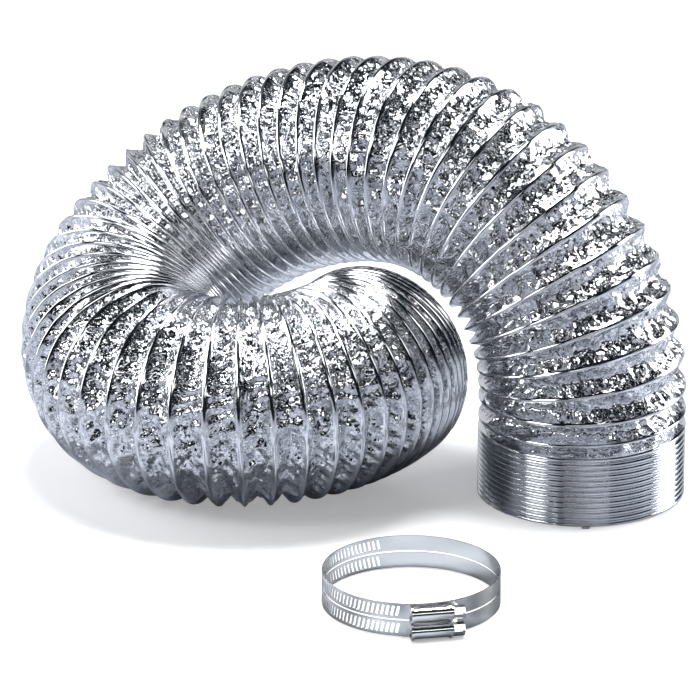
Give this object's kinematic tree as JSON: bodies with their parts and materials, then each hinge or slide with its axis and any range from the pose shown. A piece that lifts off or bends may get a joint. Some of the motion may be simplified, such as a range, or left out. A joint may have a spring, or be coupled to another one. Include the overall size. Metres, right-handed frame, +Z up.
{
  "type": "flexible air duct",
  "caption": "Semi-rigid round air duct of aluminium foil over a spring-wire helix, curled up for storage, with worm-drive hose clamps.",
  "frame": {"origin": "centre of the collar's mouth, on the surface that the duct stands on", "axes": "+Z up the collar, away from its mouth; +X to the right of the curled duct; -Y towards the hose clamps"},
  "size_m": [0.3465, 0.3477, 0.2147],
  "materials": {
    "outer_foil": "bright crumpled aluminium foil laminate",
    "inner_foil": "bright foil, a little duller than the outer ply",
    "spring_wire": "drawn spring steel",
    "clamp_band": "polished stainless strip",
    "clamp_screw": "bright nickel plate"
  },
  "bodies": {
    "end_collar": {"outer_foil_collar": "outer_foil", "inner_foil_collar": "inner_foil", "wire_collar": "spring_wire", "wire_tip": "spring_wire"},
    "riser": {"outer_foil_riser": "outer_foil", "inner_foil_riser": "inner_foil", "wire_riser": "spring_wire", "pleat_riser": "outer_foil"},
    "arch": {"outer_foil_arch": "outer_foil", "inner_foil_arch": "inner_foil", "wire_arch": "spring_wire", "pleat_arch": "outer_foil"},
    "crest": {"outer_foil_crest": "outer_foil", "inner_foil_crest": "inner_foil", "wire_crest": "spring_wire", "pleat_crest": "outer_foil"},
    "drop": {"outer_foil_drop": "outer_foil", "inner_foil_drop": "inner_foil", "wire_drop": "spring_wire", "pleat_drop": "outer_foil"},
    "turn": {"outer_foil_turn": "outer_foil", "inner_foil_turn": "inner_foil", "wire_turn": "spring_wire", "pleat_turn": "outer_foil"},
    "front": {"outer_foil_front": "outer_foil", "inner_foil_front": "inner_foil", "wire_front": "spring_wire", "pleat_front": "outer_foil"},
    "curl": {"outer_foil_curl": "outer_foil", "inner_foil_curl": "inner_foil", "wire_curl": "spring_wire", "pleat_curl": "outer_foil"},
    "tail": {"outer_foil_tail": "outer_foil", "inner_foil_tail": "inner_foil", "wire_tail": "spring_wire", "pleat_tail": "outer_foil"},
    "lower_clamp": {"clamp_band_lower": "clamp_band", "clamp_housing_lower": "clamp_screw"},
    "lower_screw": {"worm_screw_lower": "clamp_screw"},
    "upper_clamp": {"clamp_band_upper": "clamp_band", "clamp_housing_upper": "clamp_screw"},
    "upper_screw": {"worm_screw_upper": "clamp_screw"}
  },
  "joints": [
    {"name": "collar_stretch", "type": "slide", "parent": "end_collar", "child": "riser", "axis": [0, 0, 1], "range_m": [0, 0.03], "deforming": ["pleat_riser"]},
    {"name": "arch_bend", "type": "hinge", "parent": "riser", "child": "arch", "pos_m": [-0.03197, 0.01998, 0.13598], "axis": [0.5094, 0.8601, -0.0255], "range_deg": [0, 10], "deforming": ["pleat_arch"]},
    {"name": "crest_bend", "type": "hinge", "parent": "arch", "child": "crest", "pos_m": [-0.09618, 0.05869, 0.1604], "axis": [0.4537, 0.7331, -0.5067], "range_deg": [0, 10], "deforming": ["pleat_crest"]},
    {"name": "drop_swing", "type": "hinge", "parent": "crest", "child": "drop", "pos_m": [-0.1852, 0.09091, 0.12741], "axis": [0, 0, -1], "range_deg": [0, 8], "deforming": ["pleat_drop"]},
    {"name": "turn_swing", "type": "hinge", "parent": "drop", "child": "turn", "pos_m": [-0.22286, 0.08067, 0.09535], "axis": [0, 0, -1], "range_deg": [0, 8], "deforming": ["pleat_turn"]},
    {"name": "front_swing", "type": "hinge", "parent": "turn", "child": "front", "pos_m": [-0.22706, 0.0049, 0.05745], "axis": [0, 0, -1], "range_deg": [0, 8], "deforming": ["pleat_front"]},
    {"name": "curl_swing", "type": "hinge", "parent": "front", "child": "curl", "pos_m": [-0.18509, -0.02192, 0.05467], "axis": [0, 0, -1], "range_deg": [0, 8], "deforming": ["pleat_curl"]},
    {"name": "tail_swing", "type": "hinge", "parent": "curl", "child": "tail", "pos_m": [-0.13254, -0.00589, 0.05468], "axis": [0, 0, -1], "range_deg": [0, 8], "deforming": ["pleat_tail"]},
    {"name": "lower_clamp_lift", "type": "slide", "parent": "end_collar", "child": "lower_clamp", "axis": [0, 0, 1], "range_m": [0, 0.04]},
    {"name": "upper_clamp_lift", "type": "slide", "parent": "lower_clamp", "child": "upper_clamp", "axis": [0, 0, 1], "range_m": [0, 0.04]},
    {"name": "lower_screw_turn", "type": "hinge", "parent": "lower_clamp", "child": "lower_screw", "pos_m": [-0.08096, -0.19653, 0.0041], "axis": [0.9816, 0.1908, 0], "continuous": true},
    {"name": "upper_screw_turn", "type": "hinge", "parent": "upper_clamp", "child": "upper_screw", "pos_m": [-0.08096, -0.19553, 0.0126], "axis": [0.9816, 0.1908, 0], "continuous": true}
  ]
}
